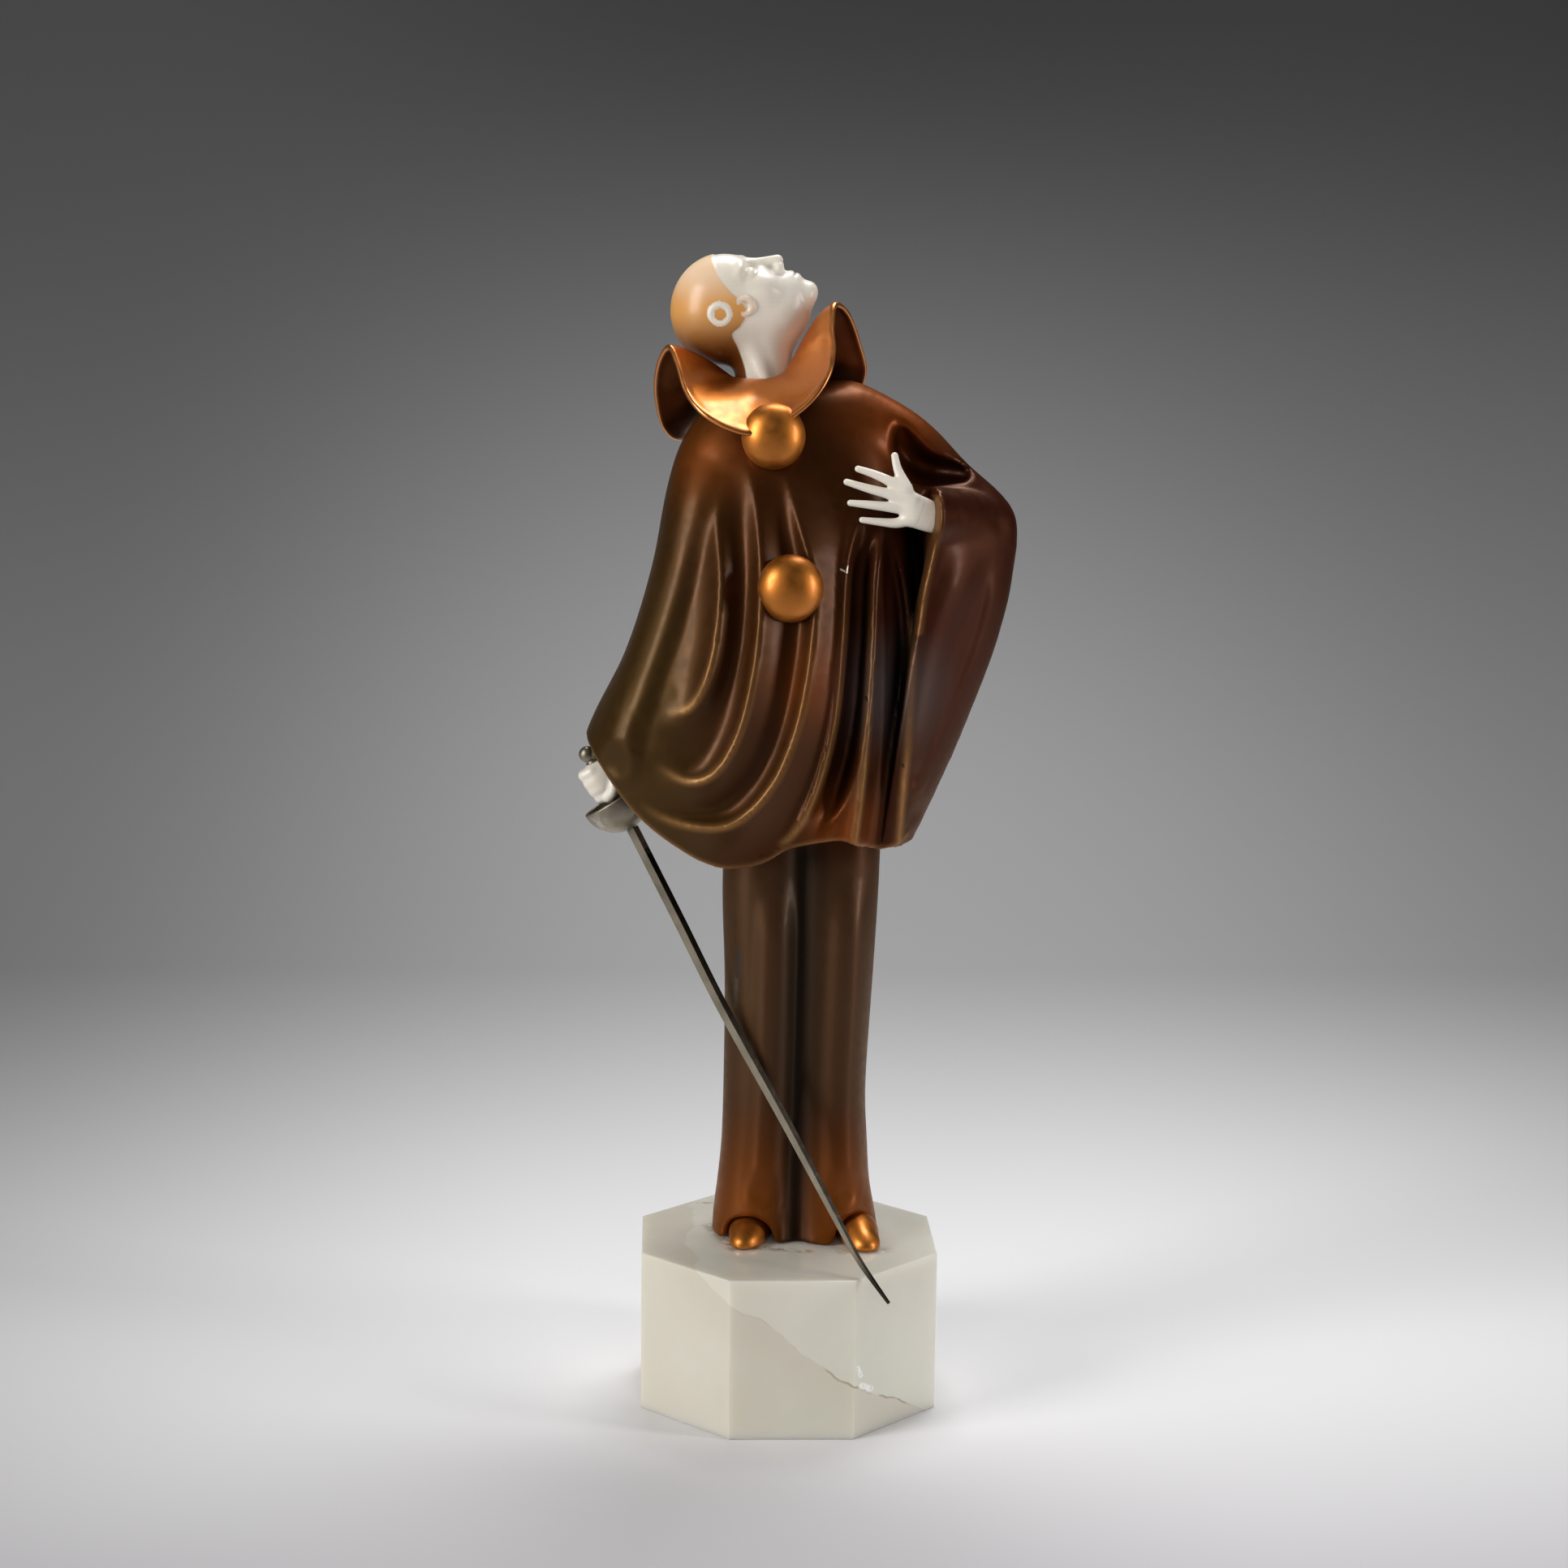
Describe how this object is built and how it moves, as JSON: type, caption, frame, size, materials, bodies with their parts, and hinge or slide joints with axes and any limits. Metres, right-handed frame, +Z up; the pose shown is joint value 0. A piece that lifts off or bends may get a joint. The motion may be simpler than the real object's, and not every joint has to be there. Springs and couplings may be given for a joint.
{
  "type": "chryselephantine figure",
  "caption": "Table figure of a swordsman in a wide hanging blouse and loose trousers, head thrown back, hand on chest, foil held down, on an octagonal stone plinth.",
  "frame": {"origin": "centre of the plinth's flat underside", "axes": "+Z up along the figure's height, -Y towards the viewer whom the figure faces, +X towards the figure's bent left arm"},
  "size_m": [0.1344, 0.0985, 0.3577],
  "materials": {
    "onyx": "polished, cloudy grey-green stone with a pale vein",
    "bronze_patina": "satin dark brown patina, worn golden on the crests",
    "bronze_copper": "satin copper patina",
    "bronze_gilt": "polished golden copper",
    "ivory": "polished, off-white, the cap stained amber",
    "silver": "aged silvering, dull grey-brown"
  },
  "bodies": {
    "root": {"plinth": "onyx", "bronze_figure": "bronze_patina", "collar": "bronze_copper", "upper_button": "bronze_gilt", "lower_button": "bronze_gilt", "head_and_neck": "ivory", "hand_on_chest": "ivory", "sword_hand": "ivory", "foil": "silver"}
  },
  "joints": []
}
